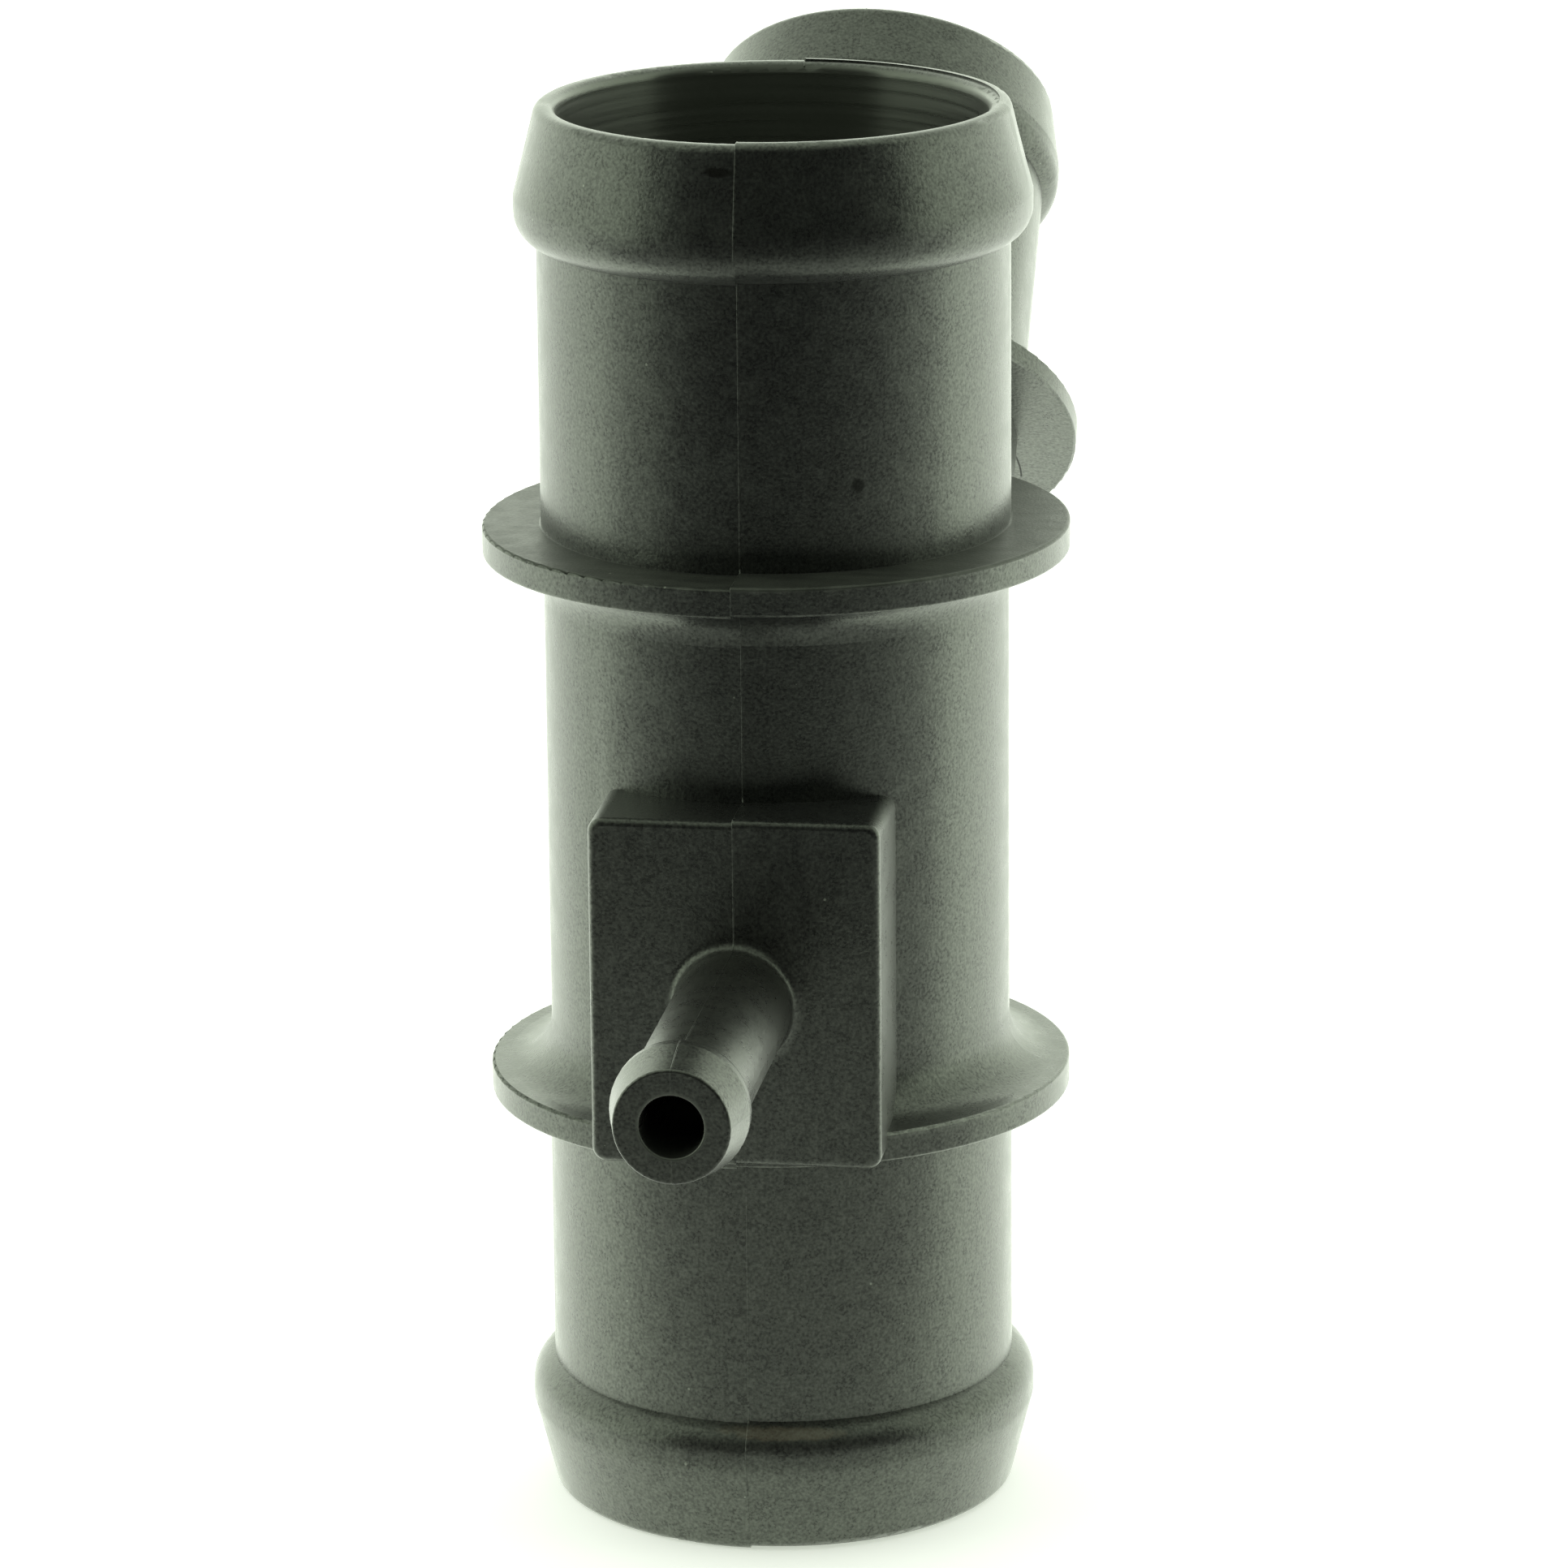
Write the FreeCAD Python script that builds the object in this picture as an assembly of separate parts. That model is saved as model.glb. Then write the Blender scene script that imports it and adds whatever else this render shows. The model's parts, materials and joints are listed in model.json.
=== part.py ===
# Coolant hose connector, moulded in one piece.
#
# A straight main tube stands upright. A branch tube leaves its back and climbs
# at an angle, and a small nipple leaves a flat pad on its front. Every open end
# is a hose spigot with a bead that keeps the hose on, and the three large
# spigots end at a round collar that stops the hose.
#
# All sizes are millimetres. Z runs up the main tube and the origin is the centre
# of its lower end. The nipple points along -Y and the branch towards +Y. Both
# sides of the plane X = 0, where its mould opens, have the same form.
import FreeCAD, Part
import math
import os

# Main tube
spigot_radius = 16.0        # outside of the straight hose spigots
bore_radius = 14.55         # coolant passage
middle_radius = 15.85       # outside of the tube between the collars
spigot_length = 28.75       # open end to the collar's hose face
body_length = 40.0          # hose face of one collar to hose face of the other
bead_height = 1.5           # hose bead above the spigot
bead_setback = 6.1          # open end to the bead's crest
bead_land = 1.0             # flat width of the bead's crest
rim_drop = 0.05             # how much less than the spigot the open end measures
rim_round = 0.65            # outer edge of the open end
upper_mouth_round = 0.7     # inner edge of the upper end
lower_mouth_round = 0.3     # inner edge of the lower end

# Collars of the main tube
collar_radius = 20.0
collar_thickness = 2.0
collar_fillet = 3.0         # hollow between a collar and the middle of the tube
edge_round = 0.2            # sharp looking moulded edges

# Every bead's back falls to the spigot on an arc that turns this far
bead_back_angle = 70.0      # degrees

# The mould opens at the plane X = 0. Its two halves met a little out of line, so
# the main tube's outside and the pad sit this much higher on the +X side.
mould_step = 0.15

# Branch
branch_angle = 46.5         # degrees above the horizontal
branch_root_rise = 1.05     # its axis meets the main axis this far above the lower hose face
branch_radius = 12.4        # outside of the straight hose spigot
branch_neck_radius = 12.25  # outside of the tube between the main tube and the collar
branch_bore_radius = 10.9
branch_neck_length = 51.2   # along the branch axis, main axis to the collar
branch_spigot_length = 26.7
branch_collar_radius = 16.5
branch_collar_thickness = 1.65
branch_bead_height = 1.05
branch_bead_setback = 5.2
branch_bead_land = 0.8
branch_rim_drop = -0.1      # the branch's open end measures a little more than its spigot
branch_rim_round = 0.8
branch_mouth_round = 0.3
branch_root_fillet = 1.5    # hollow where the neck leaves the main tube

# Pad on the front and the nipple on it
pad_face_distance = 20.35   # main axis to the pad's face
pad_width = 19.6
pad_foot_rise = 0.3         # the pad's foot above the lower hose face
pad_height = 23.95
pad_corner_round = 1.0
pad_face_round = 0.5
nipple_rise = 11.6          # its axis above the lower hose face
nipple_radius = 3.9
nipple_bore_radius = 2.08
nipple_length = 25.9        # pad's face to the open end
nipple_bead_height = 0.65
nipple_bead_setback = 3.3
nipple_bead_land = 0.6
nipple_rim_drop = 0.1
nipple_rim_round = 0.2
nipple_mouth_round = 0.15
nipple_root_fillet = 0.8

# Levels and lengths that follow from the sizes above
height = 2 * spigot_length + body_length
lower_hose_face = spigot_length
upper_hose_face = spigot_length + body_length
branch_hose_face = branch_neck_length + branch_collar_thickness
branch_length = branch_hose_face + branch_spigot_length
nipple_end_distance = pad_face_distance + nipple_length

UP = FreeCAD.Vector(0, 0, 1)
FRONT = FreeCAD.Vector(0, -1, 0)
BRANCH_WAY = FreeCAD.Vector(
    0,
    math.cos(math.radians(branch_angle)),
    math.sin(math.radians(branch_angle)),
)
ORIGIN = FreeCAD.Vector(0, 0, 0)
TOUCHING = 0.01             # things closer than this count as meeting
BRANCH_ROOT = FreeCAD.Vector(0, 0, lower_hose_face + branch_root_rise)
NIPPLE_ROOT = FreeCAD.Vector(0, 0, lower_hose_face + nipple_rise)


class Outline:
    """Half section of a turned form, drawn as radius against distance along its axis."""

    def __init__(self, radius, along):
        self.edges = []
        self.here = self.point(radius, along)

    def point(self, radius, along):
        return FreeCAD.Vector(radius, 0, along)

    def line_to(self, radius, along):
        there = self.point(radius, along)
        if there.distanceToPoint(self.here) > TOUCHING / 1000:
            self.edges.append(Part.LineSegment(self.here, there).toShape())
            self.here = there

    def arc_to(self, middle, end):
        through = self.point(*middle)
        there = self.point(*end)
        self.edges.append(Part.Arc(self.here, through, there).toShape())
        self.here = there

    def rounded_corner(self, corner, after, radius):
        """Runs towards a corner, rounds it and stops where the side towards 'after' begins."""
        tip = self.point(*corner)
        to_start = (self.here - tip).normalize()
        to_end = (self.point(*after) - tip).normalize()
        half_angle = to_start.getAngle(to_end) / 2
        middle_way = (to_start + to_end).normalize()
        centre = tip + middle_way * (radius / math.sin(half_angle))
        start = tip + to_start * (radius / math.tan(half_angle))
        end = tip + to_end * (radius / math.tan(half_angle))
        middle = centre - middle_way * radius
        self.line_to(start.x, start.z)
        self.arc_to((middle.x, middle.z), (end.x, end.z))

    def turned(self):
        """Closes the outline along the axis and turns it into a solid."""
        start = self.edges[0].Vertexes[0].Point
        closing = Part.LineSegment(self.here, start).toShape()
        profile = Part.Face(Part.Wire(self.edges + [closing]))
        return profile.revolve(ORIGIN, UP, 360)


def placed(shape, root, way):
    """Moves a form drawn up the Z axis so that it starts at root and runs the given way."""
    moved = shape.copy()
    moved.Placement = FreeCAD.Placement(root, FreeCAD.Rotation(UP, way))
    return moved


def spigot(radius, length, bead, rim, root_depth, root_fillet=0.0):
    """Hose spigot up the Z axis from its hose face at 0, starting root_depth below it."""
    bead_rise, setback, land = bead
    rim_less, rim_rounding = rim
    turn = math.radians(bead_back_angle)
    back_round = bead_rise / (1 - math.cos(turn))
    crest = radius + bead_rise
    crest_end = length - setback
    crest_start = crest_end - land
    half_way = (
        crest - back_round * (1 - math.cos(turn / 2)),
        crest_start - back_round * math.sin(turn / 2),
    )
    outline = Outline(0, -root_depth)
    outline.line_to(radius + root_fillet, -root_depth)
    outline.line_to(radius + root_fillet, 0)
    if root_fillet > 0:
        outline.rounded_corner((radius, 0), (radius, length), root_fillet)
    outline.line_to(radius, crest_start - back_round * math.sin(turn))
    outline.arc_to(half_way, (crest, crest_start))
    outline.line_to(crest, crest_end)
    outline.rounded_corner((radius - rim_less, length), (0, length), rim_rounding)
    outline.line_to(0, length)
    return outline.turned()


def core(radius, end, mouth):
    """Passage up the Z axis from 0 to an open end whose inner edge is rounded."""
    clear = end + spigot_radius
    outline = Outline(0, 0)
    outline.line_to(radius, 0)
    outline.rounded_corner((radius, end), (radius + 2 * mouth, end), mouth)
    outline.line_to(radius + mouth, clear)
    outline.line_to(0, clear)
    return outline.turned()


def middle_tube():
    """The tube between the hose faces with its two collars, hollowed towards the middle."""
    lower_back = collar_thickness
    upper_back = body_length - collar_thickness
    outline = Outline(0, 0)
    outline.rounded_corner((collar_radius, 0), (collar_radius, lower_back), edge_round)
    outline.rounded_corner((collar_radius, lower_back), (middle_radius, lower_back), edge_round)
    outline.rounded_corner((middle_radius, lower_back), (middle_radius, upper_back), collar_fillet)
    outline.rounded_corner((middle_radius, upper_back), (collar_radius, upper_back), collar_fillet)
    outline.rounded_corner((collar_radius, upper_back), (collar_radius, body_length), edge_round)
    outline.rounded_corner((collar_radius, body_length), (0, body_length), edge_round)
    outline.line_to(0, body_length)
    return placed(outline.turned(), UP * lower_hose_face, UP)


def main_spigots():
    """The two equal spigots of the main tube, one up and one down."""
    form = spigot(
        spigot_radius,
        spigot_length,
        (bead_height, bead_setback, bead_land),
        (rim_drop, rim_round),
        collar_thickness / 2,
    )
    return [placed(form, UP * upper_hose_face, UP), placed(form, UP * lower_hose_face, -UP)]


def edges_on_both(shape):
    """Edges where the neck's surface meets the main tube's."""
    found = []
    for edge in shape.Edges:
        spot = edge.valueAt((edge.FirstParameter + edge.LastParameter) / 2)
        from_main = math.hypot(spot.x, spot.y)
        from_branch = (spot - BRANCH_ROOT).cross(BRANCH_WAY).Length
        on_main = abs(from_main - middle_radius) < TOUCHING
        on_neck = abs(from_branch - branch_neck_radius) < TOUCHING
        if on_main and on_neck:
            found.append(edge)
    return found


def branch_neck():
    """Neck of the branch, blended into the main tube and kept above the lower collar's foot."""
    tube = Part.makeCylinder(middle_radius, body_length, UP * lower_hose_face, UP)
    neck = Part.makeCylinder(branch_neck_radius, branch_neck_length, BRANCH_ROOT, BRANCH_WAY)
    overhang = branch_neck_radius / math.cos(math.radians(branch_angle))
    tube_below = Part.makeCylinder(middle_radius, overhang, UP * (lower_hose_face - overhang), UP)
    joined = tube.fuse([tube_below, neck]).removeSplitter()
    blended = joined.makeFillet(branch_root_fillet, edges_on_both(joined))
    room = 2 * branch_length
    foot = lower_hose_face + mould_step
    keep = Part.makeBox(2 * room, 2 * room, room, FreeCAD.Vector(-room, -room, foot))
    return blended.common(keep)


def branch_collar():
    outline = Outline(0, branch_neck_length)
    near_edge = (branch_collar_radius, branch_neck_length)
    far_edge = (branch_collar_radius, branch_hose_face)
    outline.rounded_corner(near_edge, far_edge, edge_round)
    outline.rounded_corner(far_edge, (0, branch_hose_face), edge_round)
    outline.line_to(0, branch_hose_face)
    return placed(outline.turned(), BRANCH_ROOT, BRANCH_WAY)


def branch_spigot():
    form = spigot(
        branch_radius,
        branch_spigot_length,
        (branch_bead_height, branch_bead_setback, branch_bead_land),
        (branch_rim_drop, branch_rim_round),
        branch_collar_thickness / 2,
    )
    return placed(form, BRANCH_ROOT + BRANCH_WAY * branch_hose_face, BRANCH_WAY)


def pad():
    """Flat-faced pad on the front, its foot just above the lower collar's hose face."""
    foot = lower_hose_face + pad_foot_rise
    corner = FreeCAD.Vector(-pad_width / 2, -pad_face_distance, foot)
    block = Part.makeBox(pad_width, pad_face_distance, pad_height, corner)
    corners = [edge for edge in block.Edges if edge.BoundBox.YLength > TOUCHING]
    block = block.makeFillet(pad_corner_round, corners)
    face_edges = [edge for edge in block.Edges if edge.BoundBox.YMax < TOUCHING - pad_face_distance]
    return block.makeFillet(pad_face_round, face_edges)


def nipple():
    form = spigot(
        nipple_radius,
        nipple_length,
        (nipple_bead_height, nipple_bead_setback, nipple_bead_land),
        (nipple_rim_drop, nipple_rim_round),
        pad_face_distance - spigot_radius,
        nipple_root_fillet,
    )
    return placed(form, NIPPLE_ROOT + FRONT * pad_face_distance, FRONT)


def with_mould_step(shape):
    """Raises the half on the +X side by the step between the two mould halves."""
    room = 2 * height
    side = Part.makeBox(room, 2 * room, 2 * room, FreeCAD.Vector(0, -room, -room / 2))
    raised = shape.common(side)
    raised.translate(UP * mould_step)
    return shape.cut(side).fuse(raised)


def outside():
    main = middle_tube().multiFuse(main_spigots() + [pad()]).removeSplitter()
    pieces = [branch_neck(), branch_collar(), branch_spigot(), nipple()]
    return with_mould_step(main).multiFuse(pieces).removeSplitter()


def passages():
    """The through passage and the two that open into it."""
    upper_half = core(bore_radius, height / 2, upper_mouth_round)
    lower_half = core(bore_radius, height / 2, lower_mouth_round)
    return [
        placed(upper_half, UP * (height / 2), UP),
        placed(lower_half, UP * (height / 2), -UP),
        placed(core(branch_bore_radius, branch_length, branch_mouth_round), BRANCH_ROOT, BRANCH_WAY),
        placed(core(nipple_bore_radius, nipple_end_distance, nipple_mouth_round), NIPPLE_ROOT, FRONT),
    ]


def flange_body():
    return outside().cut(passages()).removeSplitter()


os.makedirs("parts", exist_ok=True)
body = flange_body()
body.exportStep("parts/flange_body.step")
box = body.optimalBoundingBox(False, False)
print("solids", len(body.Solids), "valid", body.isValid(), "volume", round(body.Volume, 1), "mm3")
print("x", round(box.XMin, 2), round(box.XMax, 2), "y", round(box.YMin, 2), round(box.YMax, 2))
print("z", round(box.ZMin, 2), round(box.ZMax, 2))
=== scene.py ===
# %% [markdown]
# # A moulded coolant hose connector
#
# The real part is one piece of dark, glass-filled nylon: a straight tube with a
# bead at each end and two stop collars, a branch tube that climbs from its back,
# and a small nipple on a flat pad. Its shape comes finished from the CAD model,
# so this lesson is about what makes such a plain part look real: its finish, the
# traces of its mould, and the light of a small white studio.
#
# The CAD model is loaded first. Everything is in metres, the main tube stands on
# the origin along Z, and the mould opened along X.

# %% Load the CAD model and note its size
import json
import math

import bpy
import numpy as np
from mathutils import Matrix, Vector


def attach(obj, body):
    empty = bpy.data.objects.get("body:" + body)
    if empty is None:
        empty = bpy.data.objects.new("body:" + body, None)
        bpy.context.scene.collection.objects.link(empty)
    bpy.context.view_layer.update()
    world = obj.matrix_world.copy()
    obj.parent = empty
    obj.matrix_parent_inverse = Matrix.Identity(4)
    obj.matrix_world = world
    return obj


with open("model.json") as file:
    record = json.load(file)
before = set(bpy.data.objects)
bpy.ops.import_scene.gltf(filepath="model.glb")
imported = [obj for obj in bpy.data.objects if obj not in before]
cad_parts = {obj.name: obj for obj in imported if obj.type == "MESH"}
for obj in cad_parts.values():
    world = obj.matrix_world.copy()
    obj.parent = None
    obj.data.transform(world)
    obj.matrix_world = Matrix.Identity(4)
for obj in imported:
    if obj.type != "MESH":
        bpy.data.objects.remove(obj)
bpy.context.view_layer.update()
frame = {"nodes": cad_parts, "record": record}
body = frame["nodes"]["flange_body"]
mounts = {mount["name"]: mount for mount in frame["record"]["mounts"]}

# %% [markdown]
# ## The camera
#
# The photograph was taken from half a metre away, a little above the part and
# almost straight at its nipple. A long lens keeps the tube's sides nearly
# parallel. The place, aim and lens were worked out from the ellipses of the
# collars and mouths, and the camera leans by half a degree, as the real one did.

# %% Camera
MM = 0.001
camera_place = Vector((0.0759, -0.4961, 0.1910))
camera_aim = Vector((0.00037, 0.00006, 0.0500))
camera_lean = math.radians(-0.52)
lens_mm = 174.3
sensor_mm = 36.0

camera_data = bpy.data.cameras.new("studio_camera")
camera_data.lens = lens_mm
camera_data.sensor_width = sensor_mm
camera = bpy.data.objects.new("studio_camera", camera_data)
bpy.context.collection.objects.link(camera)
looking = (camera_aim - camera_place).to_track_quat("-Z", "Y").to_matrix()
turned = (looking @ Matrix.Rotation(camera_lean, 3, "Z")).to_4x4()
camera.matrix_world = Matrix.Translation(camera_place) @ turned
bpy.context.scene.camera = camera
bpy.context.scene.view_settings.view_transform = "Standard"
print("camera distance in mm:", round((camera_aim - camera_place).length / MM, 1))

# %% [markdown]
# ## Building node trees
#
# Materials and the studio's light are drawn as graphs of nodes. A small helper
# keeps them readable: it makes a node, fills its sockets with numbers or with
# other nodes' outputs, and hands back the output that is needed.

# %% Helper for node trees
class Graph:
    """Adds nodes to one tree. Every method returns an output socket."""

    def __init__(self, tree):
        self.tree = tree
        self.tree.nodes.clear()

    def node(self, kind, inputs=(), output=0, **settings):
        made = self.tree.nodes.new(kind)
        for name, value in settings.items():
            setattr(made, name, value)
        for key, value in dict(inputs).items():
            if isinstance(value, bpy.types.NodeSocket):
                self.tree.links.new(value, made.inputs[key])
            else:
                made.inputs[key].default_value = value
        return made.outputs[output] if output is not None else made

    def math(self, operation, *values, clamp=False):
        inputs = {i: value for i, value in enumerate(values)}
        return self.node("ShaderNodeMath", inputs, operation=operation, use_clamp=clamp)

    def vector_math(self, operation, *values, output=0):
        inputs = {i: value for i, value in enumerate(values)}
        return self.node("ShaderNodeVectorMath", inputs, output, operation=operation)

    def step(self, value, low, high, to_low=0.0, to_high=1.0):
        """Goes smoothly from to_low to to_high while value goes from low to high."""
        inputs = {"Value": value, "From Min": low, "From Max": high}
        inputs |= {"To Min": to_low, "To Max": to_high}
        return self.node("ShaderNodeMapRange", inputs, interpolation_type="SMOOTHSTEP")

    def noise(self, place, scale, detail):
        """Cloudy pattern between about 0.2 and 0.8."""
        return self.node("ShaderNodeTexNoise", {"Vector": place, "Scale": scale, "Detail": detail})

    def spread(self, pattern, low, high):
        """Stretches the middle of a cloudy pattern to the span from low to high."""
        return self.step(pattern, 0.3, 0.7, low, high)

    def blend(self, share, first, second):
        """Number between first and second."""
        return self.node("ShaderNodeMix", {"Factor": share, "A": first, "B": second})

    def mix(self, share, first, second):
        """Colour between first and second."""
        inputs = {"Factor": share, "A": first, "B": second}
        made = self.node("ShaderNodeMix", output=None, data_type="RGBA")
        for name, value in inputs.items():
            socket = next(s for s in made.inputs if s.name == name and s.enabled)
            if isinstance(value, bpy.types.NodeSocket):
                self.tree.links.new(value, socket)
            else:
                socket.default_value = value
        return next(s for s in made.outputs if s.enabled)


# %% [markdown]
# ## The studio
#
# The photograph was taken in a white light tent: bright paper at the sides and
# at the back, and a dark opening in front for the camera. The opening reaches
# some 65 degrees to either side, which is why the middle of each tube is dark and
# its edges are pale. Lamps could stand round the part, but a sky that is bright
# all round and dark in the opening gives the same soft light without any noise.
# The tent is brightest low down and a little brighter behind the part, and the
# opening closes towards the top.
#
# A direction's height is its Z, from 0 at the horizon to 1 overhead. Its place
# round the part is the cosine of the angle to the middle of the opening, so 1 is
# the opening, 0 the sides and -1 the back. Each pair of limits below is given in
# one of these two.
#
# The camera itself sees the tent as plain white.

# %% Studio light
tent_low, tent_high, tent_heights = 2.0, 1.1, (0.15, 0.95)
opening_low, opening_high, opening_heights = 0.02, 0.7, (0.4, 1.0)
opening_way, opening_edge = (0.205, -0.979, 0.0), (0.36, 0.50)
tent_back, tent_back_edge = 1.1, (-0.9, -0.2)
tent_tint, plain_white = (0.92, 1.0, 0.85, 1.0), (1.0, 1.0, 1.0, 1.0)

world = bpy.data.worlds.new("white_tent")
bpy.context.scene.world = world
world.use_nodes = True
sky = Graph(world.node_tree)
direction = sky.node("ShaderNodeTexCoord", output="Generated")
up = sky.node("ShaderNodeSeparateXYZ", {"Vector": direction}, "Z")
level_way = sky.vector_math("NORMALIZE", sky.vector_math("MULTIPLY", direction, (1.0, 1.0, 0.0)))
sideways = sky.vector_math("DOT_PRODUCT", level_way, opening_way, output="Value")
in_opening = sky.step(sideways, *opening_edge)
back_share = sky.step(sideways, *tent_back_edge, tent_back, 1.0)
tent_light = sky.math("MULTIPLY", sky.step(up, *tent_heights, tent_low, tent_high), back_share)
opening_light = sky.step(up, *opening_heights, opening_low, opening_high)
strength = sky.blend(in_opening, tent_light, opening_light)
tent = sky.node("ShaderNodeBackground", {"Color": tent_tint, "Strength": strength})
paper_white = sky.node("ShaderNodeBackground", {"Color": plain_white, "Strength": 1.0})
camera_sees = sky.node("ShaderNodeLightPath", output="Is Camera Ray")
seen = sky.node("ShaderNodeMixShader", {0: camera_sees, 1: tent, 2: paper_white})
sky.node("ShaderNodeOutputWorld", {"Surface": seen}, output=None)
print("tent light", tent_low, "to", tent_high, "opening", opening_low, "to", opening_high)

# %% [markdown]
# ## The floor
#
# The part stands on a sheet of pale paper over a light table. The table shines
# from the front edge of the part backwards, brightest far to the right, and in
# front of the part it is off. So the undersides are lit and the front of the
# tubes stays dark. The paper's front part lies in the shade of the opening: the
# nearer to the camera, the less light it gives back to the tubes.
#
# The camera sees only the paper, with the soft shadow of the part. A few
# hundredths of a millimetre between the paper and the part keep the two surfaces
# from sharing a plane.

# %% Sheet for the floor
paper_front, paper_rear, paper_side, paper_drop = -0.24, 1.3, 0.9, 0.02 * MM
paper_rows = 19


def grid_mesh(name, points):
    """Mesh of quads over a grid of points with shape (rows, columns, 3)."""
    rows, columns = points.shape[:2]
    index = np.arange(rows * columns).reshape(rows, columns)
    corners = [index[:-1, :-1], index[:-1, 1:], index[1:, 1:], index[1:, :-1]]
    quads = np.stack(corners, axis=-1).reshape(-1, 4)
    mesh = bpy.data.meshes.new(name)
    mesh.from_pydata(points.reshape(-1, 3).tolist(), [], quads.tolist())
    return mesh


across = np.linspace(-paper_side, paper_side, paper_rows)
along = np.linspace(paper_front, paper_rear, paper_rows)
across, along = np.meshgrid(across, along)
sheet_points = np.stack([across, along, np.full_like(across, -paper_drop)], axis=-1)
paper = bpy.data.objects.new("paper_floor", grid_mesh("paper_floor", sheet_points))
bpy.context.collection.objects.link(paper)
print("paper from y", along.min(), "to", along.max())

# %% Paper and light table
paper_tints = (0.93, 0.89, 0.97, 1.0), (0.96, 0.92, 1.0, 1.0)
tooth_scale = 900.0
shade_at_front, shade_at_part, shade_end = 0.30, 0.9, -0.03
table_near, table_edge, table_slant = 1.55, (-0.046, 0.0), -0.17
table_far, table_fades = 0.85, (0.02, 0.18)
table_right, table_rises = 1.35, (0.06, 0.24)
table_seen = 0.5


def pale_paper():
    """White paper over a light table. The camera sees the paper alone."""
    material = bpy.data.materials.new("pale_paper")
    material.use_nodes = True
    graph = Graph(material.node_tree)
    place = graph.node("ShaderNodeTexCoord", output="Object")
    axes = graph.node("ShaderNodeSeparateXYZ", {"Vector": place}, output=None).outputs
    camera_sees = graph.node("ShaderNodeLightPath", output="Is Camera Ray")
    tint = graph.mix(graph.noise(place, tooth_scale, 2.0), *paper_tints)
    shade = graph.step(axes["Y"], paper_front, shade_end, shade_at_front, shade_at_part)
    tint = graph.vector_math("MULTIPLY", tint, graph.blend(camera_sees, shade, 1.0))
    slanted = graph.math("MULTIPLY", axes["X"], table_slant)
    backwards = graph.math("ADD", axes["Y"], slanted)
    near = graph.step(backwards, *table_edge, 0.0, table_near)
    fading = graph.step(backwards, *table_fades, 1.0, table_far)
    rising = graph.step(axes["X"], *table_rises, 1.0, table_right)
    table_light = graph.math("MULTIPLY", near, graph.math("MULTIPLY", fading, rising))
    glow = graph.blend(camera_sees, table_light, table_seen)
    inputs = {"Base Color": tint, "Roughness": 0.9, "Specular IOR Level": 0.2}
    inputs |= {"Emission Color": tent_tint, "Emission Strength": glow}
    surface = graph.node("ShaderNodeBsdfPrincipled", inputs)
    graph.node("ShaderNodeOutputMaterial", {"Surface": surface}, output=None)
    return material


paper.data.materials.append(pale_paper())
print("light table", table_near, "near the part,", table_near * table_far, "far behind")

# %% [markdown]
# ## Masks for the skin
#
# Parts of the skin differ: the bores were formed on cores with a high polish and
# their walls are lightened with painted light, the collars' edges carry painted
# highlights, a crease carries painted shade, and a few spots carry a mark. Each
# mask is a small sum on the
# part's own coordinates, so nothing has to be painted by hand. The bores are
# found from the mounts that the part's record names.

# %% Masks of the bores and the rings
bore_edge_mm, ring_core, face_edge_mm = (0.1, 0.3), 0.3, (0.12, 0.16)


def in_bore(graph, place, bore):
    """1 on the wall of a bore, 0 elsewhere.

    The mask reaches back from the bore's stated point by the bore's length, and
    ahead of it without end. So that point may lie at either end of the bore.
    """
    start, way = tuple(bore["pos_m"]), tuple(bore["axis"])
    inner, outer = ((bore["dims"]["r_mm"] + edge) * MM for edge in bore_edge_mm)
    from_start = graph.vector_math("SUBTRACT", place, start)
    turned = graph.vector_math("CROSS_PRODUCT", from_start, way)
    distance = graph.vector_math("LENGTH", turned, output="Value")
    along = graph.vector_math("DOT_PRODUCT", from_start, way, output="Value")
    within = graph.step(distance, inner, outer, 1.0, 0.0)
    behind = graph.math("GREATER_THAN", along, -bore["dims"]["length_mm"] * MM)
    return graph.math("MULTIPLY", within, behind)


def on_ring(graph, from_axis, level, radius_mm, level_mm, width_mm):
    """1 along a level ring round the main axis, fading to 0 a width away."""
    out = graph.math("SUBTRACT", from_axis, radius_mm * MM)
    up = graph.math("SUBTRACT", level, level_mm * MM)
    squares = graph.math("ADD", graph.math("MULTIPLY", out, out), graph.math("MULTIPLY", up, up))
    distance = graph.math("SQRT", squares)
    return graph.step(distance, ring_core * width_mm * MM, width_mm * MM, 1.0, 0.0)


def on_collar_face(graph, from_axis, level, level_mm, inner_mm, outer_mm):
    """1 on a main collar's flat face between two radii at a level, 0 elsewhere."""
    away = graph.math("ABSOLUTE", graph.math("SUBTRACT", level, level_mm * MM))
    at_level = graph.step(away, *(edge * MM for edge in face_edge_mm), 1.0, 0.0)
    off_tube = graph.step(from_axis, inner_mm * MM, (inner_mm + 0.1) * MM)
    on_collar = graph.step(from_axis, outer_mm * MM, (outer_mm + 0.2) * MM, 1.0, 0.0)
    return graph.math("MULTIPLY", at_level, graph.math("MULTIPLY", off_tube, on_collar))


def largest(graph, values):
    """The largest of several masks."""
    found = values[0]
    for value in values[1:]:
        found = graph.math("MAXIMUM", found, value)
    return found


bores = [mount for mount in mounts.values() if mount["kind"] == "bore"]
print("polished bores:", [bore["name"] for bore in bores])

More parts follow.
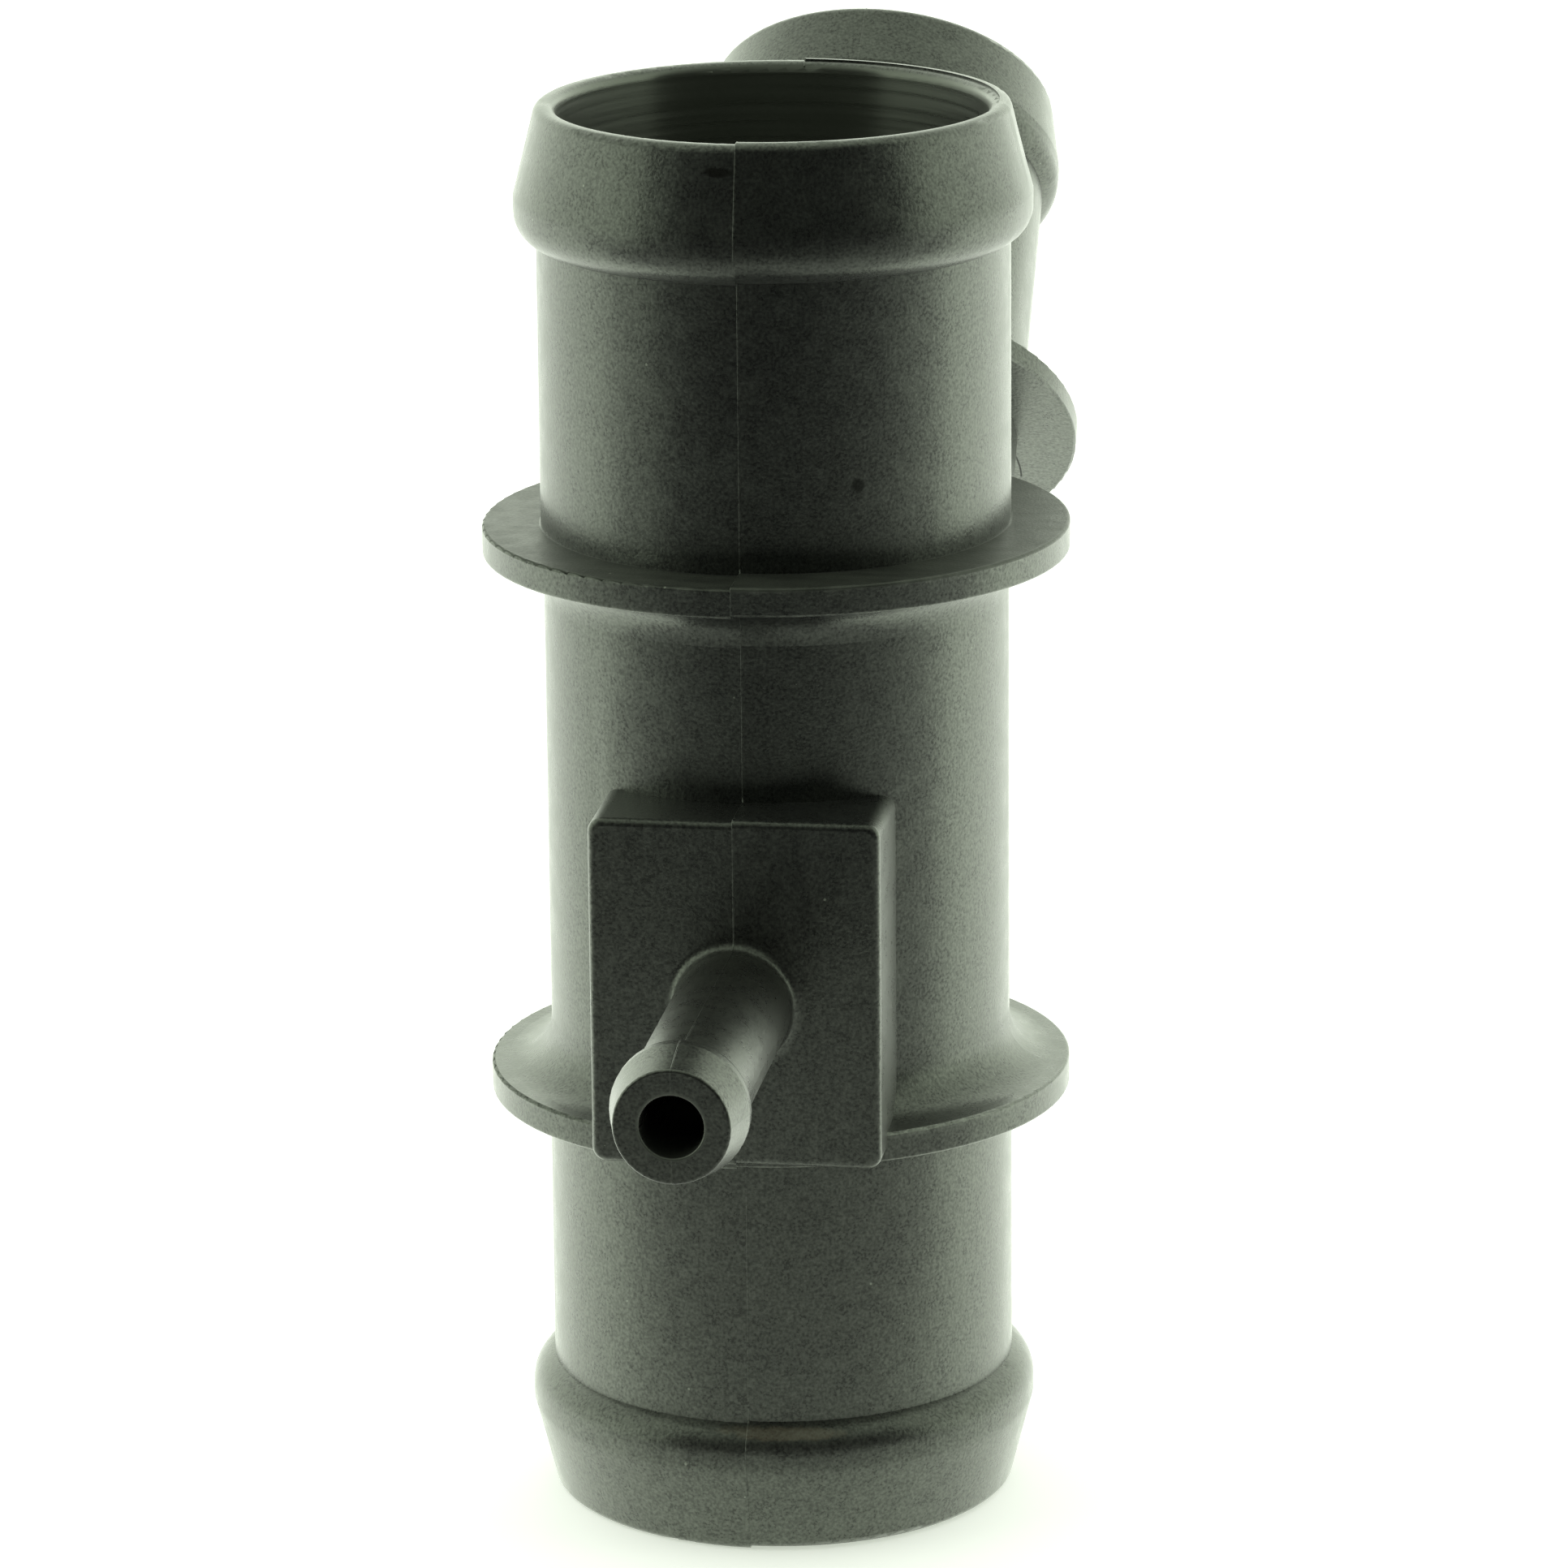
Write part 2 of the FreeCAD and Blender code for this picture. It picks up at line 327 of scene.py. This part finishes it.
# %% Masks of the marks
def on_crease(graph, place, centre_mm, down, arc_mm, width_mm):
    """1 near part of a sphere's surface, which crosses a flat face in an arc.

    The sphere's middle lies a drop down the face from a point on the branch's
    axis. The two ends of the arc are measured down the face from that point. The
    mask goes through the collar, so it also marks what lies behind the face.
    """
    radius_mm, drop_mm, from_mm, to_mm = arc_mm
    from_centre = graph.vector_math("SUBTRACT", place, tuple(MM * v for v in centre_mm))
    below = graph.vector_math("DOT_PRODUCT", from_centre, down, output="Value")
    shift = tuple(-drop_mm * MM * v for v in down)
    from_middle = graph.vector_math("ADD", from_centre, shift)
    distance = graph.vector_math("LENGTH", from_middle, output="Value")
    away = graph.math("ABSOLUTE", graph.math("SUBTRACT", distance, radius_mm * MM))
    line = graph.step(away, 0.3 * width_mm * MM, 0.6 * width_mm * MM, 1.0, 0.0)
    begun = graph.step(below, from_mm * MM, (from_mm + 1.5) * MM)
    ended = graph.step(below, (to_mm - 0.3) * MM, to_mm * MM, 1.0, 0.0)
    return graph.math("MULTIPLY", line, graph.math("MULTIPLY", begun, ended))


def in_spot(graph, place, ragged, centre_mm, sizes_mm):
    """1 inside an egg-shaped spot, fading to 0 at its ragged edge."""
    from_centre = graph.vector_math("SUBTRACT", place, tuple(MM * v for v in centre_mm))
    scaled = graph.vector_math("DIVIDE", from_centre, tuple(MM * v for v in sizes_mm))
    distance = graph.vector_math("LENGTH", scaled, output="Value")
    reach = graph.math("ADD", distance, ragged)
    return graph.step(reach, 1.0, 1.5, 1.0, 0.0)


def in_dust(graph, place, scale, largest_size):
    """1 on grains of dust, small balls in the middle of some of a pattern's cells."""
    inputs = {"Vector": place, "Scale": scale}
    cell = graph.node("ShaderNodeTexVoronoi", inputs, output=None).outputs
    lucky = graph.node("ShaderNodeSeparateColor", {"Color": cell["Color"]})
    size = graph.step(lucky, 0.45, 1.0, 0.0, largest_size)
    return graph.math("LESS_THAN", cell["Distance"], size)


print("masks for the marks: crease, spot, dust")

# %% [markdown]
# ## The tone of the nylon
#
# Glass-filled nylon is nearly black, but its skin is never one flat colour. It
# has a slow drift of tone from the flow of the melt and a fine grain from the
# eroded mould. Its tone also goes from olive below to a darker, bluer ink above:
# that darkening is painted shade on the upper part. Three noise patterns give the
# drift, the patches and the grain. Their scale is the number of waves in a metre.

# %% Tone of the bare skin
olive, ink = (0.0100, 0.0104, 0.0086, 1.0), (0.0062, 0.0070, 0.0067, 1.0)
olive_below, ink_above = 25 * MM, 75 * MM
drift_scale, patch_scale, grain_scale = 60.0, 650.0, 4600.0


def bare_tone(graph, place, level, grain, patches):
    """Colour of the skin where nothing has marked it, with painted shade towards the top."""
    # painted shade: the tone darkens from olive below to ink above
    painted_shade_above = graph.step(level, olive_below, ink_above)
    wander = graph.spread(graph.noise(place, drift_scale, 4.0), -0.35, 0.35)
    tone = graph.mix(graph.math("ADD", painted_shade_above, wander, clamp=True), olive, ink)
    fine = graph.step(grain, 0.25, 0.75, 0.55, 1.45)
    speckle = graph.math("ADD", fine, graph.spread(patches, -0.15, 0.15))
    return graph.vector_math("MULTIPLY", tone, speckle)


waves = [round(1 / scale / MM, 2) for scale in (drift_scale, patch_scale, grain_scale)]
print("drift, patches and grain in mm:", waves)

# %% [markdown]
# ## Wear, marks and painted light
#
# The upper collar's hose face is brushed, and its lighter brush lines are partly the
# tool's marks and partly painted light on that top face. The collars' edges carry
# painted highlights in pale rings, broken up in patches. The photograph shows a dark
# spot on the upper tube, a scuff on the upper bead and a rubbed patch in the lower
# bead's groove, and the crease on the branch's collar gets a line of painted shade.
# None of them is deep enough to show in the outline, so masks carry them. Each
# colour is laid over the last one, with the bores' painted light on top.
#
# Places, radii and widths are in millimetres. The brushed face is given by its
# level and its two radii, and a spot by its middle and about half its size along
# each axis. A scale is the number of waves in a metre, as above.

# %% Wear and marks
brushed_face = (68.8, 16.05, 20.1)
stroke_scales = (220.0, 900.0, 220.0)
# painted highlights: pale rings along the collars' edges
edge_radius, edge_levels, edge_width = 19.95, (28.8, 30.7, 66.8, 68.8), 0.35
ragged_scale, ragged_reach = 1500.0, 0.8
stain = ((7.62, -14.05, 74.62), (0.50, 0.50, 0.62))
scuff = ((-1.1, -16.3, 95.8), (1.2, 0.6, 0.35))
rubbed_groove = ((2.8, -16.5, 8.8), (5.0, 1.6, 0.45))
# painted shade: a dark line where the branch's collar has a crease
crease = ((0.0, 35.24, 66.94), (0.0, 0.7254, -0.6884), (12.07, 5.5, 2.4, 6.5), 0.15)
dust_scale, dust_size = 480.0, 0.05
mark_tones = (
    # partly painted light: the brushed face's lighter tone stands in for light on that top face
    ("strokes_with_painted_light", 1.0, (0.034, 0.037, 0.031, 1.0)),
    # painted highlight along the collars' edges
    ("painted_edge_highlight", 1.0, (0.060, 0.065, 0.055, 1.0)),
    ("stained", 0.9, (0.004, 0.004, 0.003, 1.0)),
    ("scuffed", 1.0, (0.004, 0.004, 0.003, 1.0)),
    ("rubbed", 1.0, (0.060, 0.050, 0.034, 1.0)),
    # painted shade in the crease
    ("crease_painted_shade", 1.0, (0.002, 0.002, 0.002, 1.0)),
    ("dusty", 0.7, (0.22, 0.24, 0.20, 1.0)),
    # painted light: the bore walls are lighter than the bare skin
    ("polished_bores_painted_light", 1.0, (0.031, 0.033, 0.028, 1.0)),
)


def skin_masks(graph, place, level, from_axis, patches):
    """All masks of the skin, by name."""
    masks = {"brushed": on_collar_face(graph, from_axis, level, *brushed_face)}
    strokes_place = graph.vector_math("MULTIPLY", place, stroke_scales)
    # brush lines on the collar's top face, whose lighter tone is partly painted light
    strokes_with_painted_light = graph.step(graph.noise(strokes_place, 1.0, 4.0), 0.35, 0.65, 0.45, 1.0)
    masks["strokes_with_painted_light"] = graph.math("MULTIPLY", masks["brushed"], strokes_with_painted_light)
    edges = [
        on_ring(graph, from_axis, level, edge_radius, edge, edge_width) for edge in edge_levels
    ]
    patchy = graph.step(patches, 0.35, 0.65, 0.0, 0.8)
    # painted highlight: pale rings on the collars' edges, broken up in patches
    masks["painted_edge_highlight"] = graph.math("MULTIPLY", largest(graph, edges), patchy)
    ragged = graph.math("MULTIPLY", graph.noise(place, ragged_scale, 3.0), ragged_reach)
    masks["stained"] = in_spot(graph, place, ragged, *stain)
    masks["scuffed"] = in_spot(graph, place, ragged, *scuff)
    masks["rubbed"] = in_spot(graph, place, ragged, *rubbed_groove)
    # painted shade along the crease
    masks["crease_painted_shade"] = on_crease(graph, place, *crease)
    masks["dusty"] = in_dust(graph, place, dust_scale, dust_size)
    # the bores' polish, and the painted light on their walls
    masks["polished_bores_painted_light"] = largest(graph, [in_bore(graph, place, bore) for bore in bores])
    return masks


def marked_tone(graph, tone, masks):
    """The tone with each mark's colour laid over it in turn."""
    for name, share, colour in mark_tones:
        tone = graph.mix(graph.math("MULTIPLY", masks[name], share), tone, colour)
    return tone


print("marks from the lowest to the uppermost:", [name for name, *_ in mark_tones])

# %% [markdown]
# ## The finish
#
# Most of what the eye sees on nylon this dark is the tent's reflection, so the
# finish matters more than the colour. The grain spreads the reflection and breaks
# it up, because its pits give back less light than its crests. A weak and rough
# coat adds the wide, faint haze round each highlight. The bores are smoother, and
# the fine marks that run round them stretch the reflection upwards. The stain and
# the scuff are nearly dull, and so is the crease, which darkens its painted shade.
#
# The grain is a bump, as it is only hundredths of a millimetre deep. The crests
# of the two main beads carry a soft light in the photograph, so a bevel turns the
# normals there. Their radius, levels, width and rounding are in millimetres.

# %% Finish
moulded_rough, patch_rough = (0.28, 0.34), (-0.03, 0.03)
bore_rough, brushed_rough = (0.26, 0.40), 0.12
moulded_shine, patch_shine = (0.30, 1.14), (-0.06, 0.06)
bore_shine, brushed_shine, dull_shine = 1.05, 0.40, 0.10
coat_weight, coat_least = 0.4, 0.15
# the crease's painted shade is also made dull
dull_marks = (("stained", 0.75), ("crease_painted_shade", 1.0), ("scuffed", 0.75))
crest_radius, crest_levels, crest_width, crest_round = 17.5, (6.1, 91.4), 1.8, 1.4
marks_scales, marks_height = (40.0, 40.0, 2600.0), 0.25
grain_depth = 0.018 * MM


def roughness(graph, masks, grain, patches, marks):
    """How widely each place spreads its reflection."""
    moulded = graph.spread(grain, *moulded_rough)
    moulded = graph.math("ADD", moulded, graph.spread(patches, *patch_rough))
    rough = graph.blend(masks["polished_bores_painted_light"], moulded, graph.spread(marks, *bore_rough))
    return graph.math("ADD", rough, graph.math("MULTIPLY", masks["brushed"], brushed_rough))


def shine_and_haze(graph, masks, grain, patches):
    """Strength of the reflection and weight of the rough coat."""
    pitted = graph.step(grain, 0.15, 0.85, *moulded_shine)
    pitted = graph.math("ADD", pitted, graph.spread(patches, *patch_shine))
    dull = [graph.math("MULTIPLY", masks[name], share) for name, share in dull_marks]
    dull = largest(graph, dull)
    shine = graph.blend(dull, graph.blend(masks["polished_bores_painted_light"], pitted, bore_shine), dull_shine)
    shine = graph.blend(masks["brushed"], shine, brushed_shine)
    without_haze = largest(graph, [dull, masks["polished_bores_painted_light"], masks["brushed"]])
    return shine, graph.blend(without_haze, coat_weight, coat_least)


def relief(graph, masks, from_axis, level, grain, marks):
    """Normal with the rounded crests, and on it the grain or the core's marks."""
    crests = [
        on_ring(graph, from_axis, level, crest_radius, crest, crest_width)
        for crest in crest_levels
    ]
    rounding = graph.math("MULTIPLY", largest(graph, crests), crest_round * MM)
    rounded = graph.node("ShaderNodeBevel", {"Radius": rounding}, samples=4)
    height = graph.blend(masks["polished_bores_painted_light"], grain, graph.math("MULTIPLY", marks, marks_height))
    inputs = {"Strength": 1.0, "Distance": grain_depth, "Height": height, "Normal": rounded}
    return graph.node("ShaderNodeBump", inputs)


print("roughness", moulded_rough, "in the bores", bore_rough)
print("grain depth in mm", round(grain_depth / MM, 4))

# %% The whole material
nylon_ior, skin_tint = 1.53, (0.91, 1.0, 0.84, 1.0)
coat_rough, coat_ior, bore_stretch = 0.6, 1.5, 0.9


def nylon():
    """Dark moulded nylon, from the part's own coordinates."""
    material = bpy.data.materials.new("moulded_nylon")
    material.use_nodes = True
    graph = Graph(material.node_tree)
    place = graph.node("ShaderNodeTexCoord", output="Object")
    level = graph.node("ShaderNodeSeparateXYZ", {"Vector": place}, "Z")
    flat = graph.vector_math("MULTIPLY", place, (1.0, 1.0, 0.0))
    from_axis = graph.vector_math("LENGTH", flat, output="Value")
    grain = graph.noise(place, grain_scale, 3.0)
    patches = graph.noise(place, patch_scale, 2.0)
    marks = graph.noise(graph.vector_math("MULTIPLY", place, marks_scales), 1.0, 4.0)
    masks = skin_masks(graph, place, level, from_axis, patches)

    tone = marked_tone(graph, bare_tone(graph, place, level, grain, patches), masks)
    rough = roughness(graph, masks, grain, patches, marks)
    shine, haze = shine_and_haze(graph, masks, grain, patches)
    skin = relief(graph, masks, from_axis, level, grain, marks)
    upright = graph.node("ShaderNodeCombineXYZ", {"Z": 1.0})
    inputs = {"Base Color": tone, "Roughness": rough, "IOR": nylon_ior, "Normal": skin}
    inputs |= {"Specular IOR Level": shine, "Specular Tint": skin_tint}
    inputs |= {"Coat Weight": haze, "Coat Roughness": coat_rough, "Coat IOR": coat_ior}
    stretch = graph.math("MULTIPLY", masks["polished_bores_painted_light"], bore_stretch)
    inputs |= {"Anisotropic": stretch, "Tangent": upright}
    surface = graph.node("ShaderNodeBsdfPrincipled", inputs)
    graph.node("ShaderNodeOutputMaterial", {"Surface": surface}, output=None)
    return material


body.data.materials[0] = nylon()
print("material slots:", [slot.name for slot in body.material_slots])

# %% [markdown]
# ## The line where the mould closed
#
# Where the two halves of a mould meet, a little of the melt creeps between them
# and leaves a ridge a few hundredths of a millimetre high. It follows the
# outline that the part has in the plane X = 0. So the ridge can be cut from the
# CAD mesh itself: every triangle that has corners on both sides of the plane
# gives one short piece of that outline, and a low rounded section is carried
# along the pieces. Modelling it as a real ridge lets it catch light like the
# true one, brighter on the curved beads and almost lost on the straight walls.

# %% Outline of the part in the parting plane
on_plane, shortest_cut, least_tilt = 1e-9, 1e-7, 0.05


def mesh_triangles(mesh):
    """Corner points and normals of a mesh's triangles as arrays."""
    mesh.calc_loop_triangles()
    points = np.empty(3 * len(mesh.vertices))
    mesh.vertices.foreach_get("co", points)
    corners = np.empty(3 * len(mesh.loop_triangles), dtype=np.int32)
    mesh.loop_triangles.foreach_get("vertices", corners)
    normals = np.empty(3 * len(mesh.loop_triangles))
    mesh.loop_triangles.foreach_get("normal", normals)
    return points.reshape(-1, 3)[corners.reshape(-1, 3)], normals.reshape(-1, 3)


def outside_bores(points):
    """Which points don't lie on the wall of a bore."""
    outside = np.ones(len(points), dtype=bool)
    for bore in bores:
        from_start = points - np.array(bore["pos_m"])
        along = from_start @ np.array(bore["axis"])
        distance = np.linalg.norm(np.cross(from_start, np.array(bore["axis"])), axis=1)
        near = distance < (bore["dims"]["r_mm"] + bore_edge_mm[0]) * MM
        outside &= ~(near & (along > -bore["dims"]["length_mm"] * MM))
    return outside


def parting_outline(mesh):
    """Start, end and outward way of each piece of the outline in the plane X = 0.

    An edge from a to b crosses the plane at a + (b - a) * a.x / (a.x - b.x).
    Triangles that face along X have no outward way in the plane and are left out.
    """
    corners, normals = mesh_triangles(mesh)
    right = corners[:, :, 0] > on_plane
    crossing = right.any(axis=1) & ~right.all(axis=1)
    corners, normals, right = corners[crossing], normals[crossing], right[crossing]
    a, b = corners, np.roll(corners, -1, axis=1)
    crossed = right != np.roll(right, -1, axis=1)
    gap = np.where(crossed, a[:, :, 0] - b[:, :, 0], 1.0)
    cuts = a + (b - a) * (a[:, :, 0] / gap)[:, :, None]
    cuts = cuts[crossed].reshape(-1, 2, 3)
    outward = normals * (0.0, 1.0, 1.0)
    size = np.linalg.norm(outward, axis=1)
    length = np.linalg.norm(cuts[:, 1] - cuts[:, 0], axis=1)
    keep = (size > least_tilt) & (length > shortest_cut)
    keep &= outside_bores(cuts.mean(axis=1))
    return cuts[keep, 0], cuts[keep, 1], outward[keep] / size[keep, None]


starts, ends, outward = parting_outline(body.data)
outline_length = np.linalg.norm(ends - starts, axis=1).sum()
print("outline pieces", len(starts), "length in mm", round(outline_length / MM, 1))

# %% Ridge along the outline
ridge_half_width, ridge_root, ridge_height = 0.07 * MM, 0.02 * MM, 0.035 * MM
ridge_piece, same_place = 0.4 * MM, 0.0001 * MM


def shared_points(points):
    """Index of each point in a list where equal points appear once, and that list."""
    rounded = np.round(points / same_place).astype(np.int64)
    _, first, index = np.unique(rounded, axis=0, return_index=True, return_inverse=True)
    return index.reshape(-1), points[first]


def mean_ways(index, ways, count):
    """Average of the ways that meet at each shared point."""
    total = np.zeros((count, 3))
    np.add.at(total, index, ways)
    return total / np.linalg.norm(total, axis=1)[:, None]


def short_pieces(starts, ends, way_starts, way_ends, longest):
    """Cuts every piece into equal shorter ones of at most the given length."""
    length = np.linalg.norm(ends - starts, axis=1)
    parts = np.maximum(1, np.ceil(length / longest)).astype(int)
    owner = np.repeat(np.arange(len(starts)), parts)
    number = np.arange(len(owner)) - np.repeat(np.cumsum(parts) - parts, parts)
    low, high = number / parts[owner], (number + 1) / parts[owner]
    step, turn = (ends - starts)[owner], (way_ends - way_starts)[owner]
    new_starts = starts[owner] + step * low[:, None]
    new_ends = starts[owner] + step * high[:, None]
    new_way_starts = way_starts[owner] + turn * low[:, None]
    new_way_ends = way_starts[owner] + turn * high[:, None]
    return new_starts, new_ends, new_way_starts, new_way_ends


def run_forward(a, b, way_a, way_b):
    """Turns pieces round so that all of them run the same way along the outline."""
    backwards = np.cross(b - a, way_a)[:, 0] < 0
    a[backwards], b[backwards] = b[backwards].copy(), a[backwards].copy()
    way_a[backwards], way_b[backwards] = way_b[backwards].copy(), way_a[backwards].copy()


def ridge_points(spots, ways):
    """Points of the ridge's section at each spot of the outline.

    The section across X is a flat arch of five points (x, height):
    (-w, -d), (-0.45 w, 0.75 h), (0, h), (0.45 w, 0.75 h), (w, -d), with half
    width w and root d. With s = y + z and z in mm, the height h is the ridge's
    full height times 0.55 + 0.25 sin(0.37 s) + 0.20 sin(1.9 s + 0.6 z), which is
    held between 0.25 and 1.
    """
    run = (spots[:, 1] + spots[:, 2]) / MM
    wander = 0.55 + 0.25 * np.sin(0.37 * run) + 0.20 * np.sin(1.9 * run + 0.6 * spots[:, 2] / MM)
    height = ridge_height * np.clip(wander, 0.25, 1.0)
    across = np.array([-1.0, -0.45, 0.0, 0.45, 1.0]) * ridge_half_width
    share = np.array([0.0, 0.75, 1.0, 0.75, 0.0])
    root = np.array([ridge_root, 0.0, 0.0, 0.0, ridge_root])
    rise = height[:, None] * share - root
    points = spots[:, None, :] + ways[:, None, :] * rise[:, :, None]
    points[:, :, 0] += across
    return points.reshape(-1, 3)


def ridge_faces(i, j):
    """Five quads round each piece from spot i to spot j, and a cap at each open end."""
    around = np.arange(5)
    after = (around + 1) % 5
    first, second = 5 * i[:, None], 5 * j[:, None]
    quads = np.stack([first + around, first + after, second + after, second + around], axis=-1)
    start_caps = 5 * np.setdiff1d(i, j)[:, None] + around[::-1]
    end_caps = 5 * np.setdiff1d(j, i)[:, None] + around
    return quads.reshape(-1, 4).tolist() + start_caps.tolist() + end_caps.tolist()


def mould_seam():
    """Low ridge along the parting outline."""
    index, spots = shared_points(np.concatenate([starts, ends]))
    ways = mean_ways(index, np.concatenate([outward, outward]), len(spots))
    i, j = index[: len(starts)], index[len(starts):]
    a, b, way_a, way_b = short_pieces(spots[i], spots[j], ways[i], ways[j], ridge_piece)
    run_forward(a, b, way_a, way_b)
    index, spots = shared_points(np.concatenate([a, b]))
    ways = mean_ways(index, np.concatenate([way_a, way_b]), len(spots))
    faces = ridge_faces(index[: len(a)], index[len(a):])
    mesh = bpy.data.meshes.new("mould_seam")
    mesh.from_pydata(ridge_points(spots, ways).tolist(), [], faces)
    mesh.shade_smooth()
    return bpy.data.objects.new("mould_seam", mesh)


seam = mould_seam()
bpy.context.collection.objects.link(seam)
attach(seam, "root")
seam.data.materials.clear()
seam.data.materials.append(body.data.materials[0])
print("seam faces", len(seam.data.polygons))
